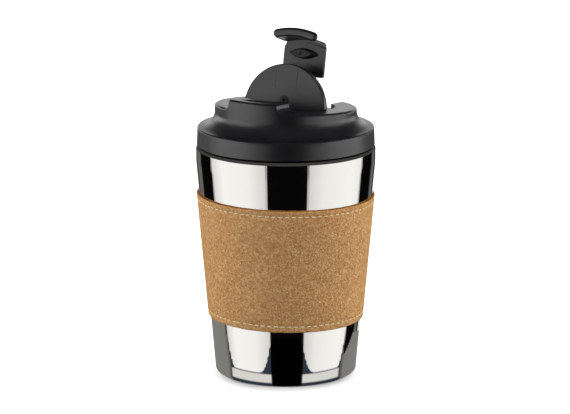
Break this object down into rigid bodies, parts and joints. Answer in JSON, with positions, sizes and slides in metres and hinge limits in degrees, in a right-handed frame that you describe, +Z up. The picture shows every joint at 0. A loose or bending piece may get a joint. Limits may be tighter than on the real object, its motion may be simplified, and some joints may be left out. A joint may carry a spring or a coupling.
{
  "type": "insulated_travel_cup",
  "caption": "Double-wall steel travel cup with a stitched cork grip band and a black screw lid whose hinged flap closes the drinking slot",
  "frame": {"origin": "centre of the cup's base, on the surface it stands on", "axes": "+Z up along the cup's axis, -Y towards the drinking side, +Y towards the flap's hinge side"},
  "size_m": [0.0876, 0.0876, 0.1688],
  "materials": {
    "polished_steel": "mirror-polished stainless steel",
    "brushed_steel": "electropolished satin stainless steel",
    "braze": "dull braze and sintered metal",
    "cork": "fine-grained natural cork sheet, matte",
    "backing": "thin woven backing",
    "thread": "cream waxed sewing thread",
    "silicone": "matte silicone rubber",
    "black_pp": "injection-moulded polypropylene, fine matte",
    "dark_silicone": "matte silicone rubber"
  },
  "bodies": {
    "cup": {"outer_shell": "polished_steel", "inner_liner": "brushed_steel", "vacuum_plate": "brushed_steel", "seal_bead": "braze", "getter": "braze", "base_cover": "polished_steel", "cork_sleeve": "cork", "sleeve_lining": "backing", "top_stitching": "thread", "bottom_stitching": "thread", "seam_stitching": "thread"},
    "seal": {"neck_gasket": "silicone"},
    "lid": {"lid_cap": "black_pp", "threaded_collar": "black_pp"},
    "flap": {"flap_disc": "black_pp", "latch_head": "black_pp", "drink_plug": "dark_silicone", "vent_plug": "dark_silicone"}
  },
  "joints": [
    {"name": "lid_rise", "type": "slide", "parent": "cup", "child": "seal", "axis": [0, 0, 1], "range_m": [0, 0.0182]},
    {"name": "lid_turn", "type": "hinge", "parent": "seal", "child": "lid", "pos_m": [0, 0, 0.11], "axis": [0, 0, 1], "range_deg": [0, 540]},
    {"name": "flap_hinge", "type": "hinge", "parent": "lid", "child": "flap", "pos_m": [0, 0.0019, 0.12665], "axis": [-1, 0, 0], "range_deg": [-97.1, 45]}
  ],
  "couplings": [
    {"joint": "lid_rise", "follows": "lid_turn", "m_per_rad": 0.0019099}
  ]
}
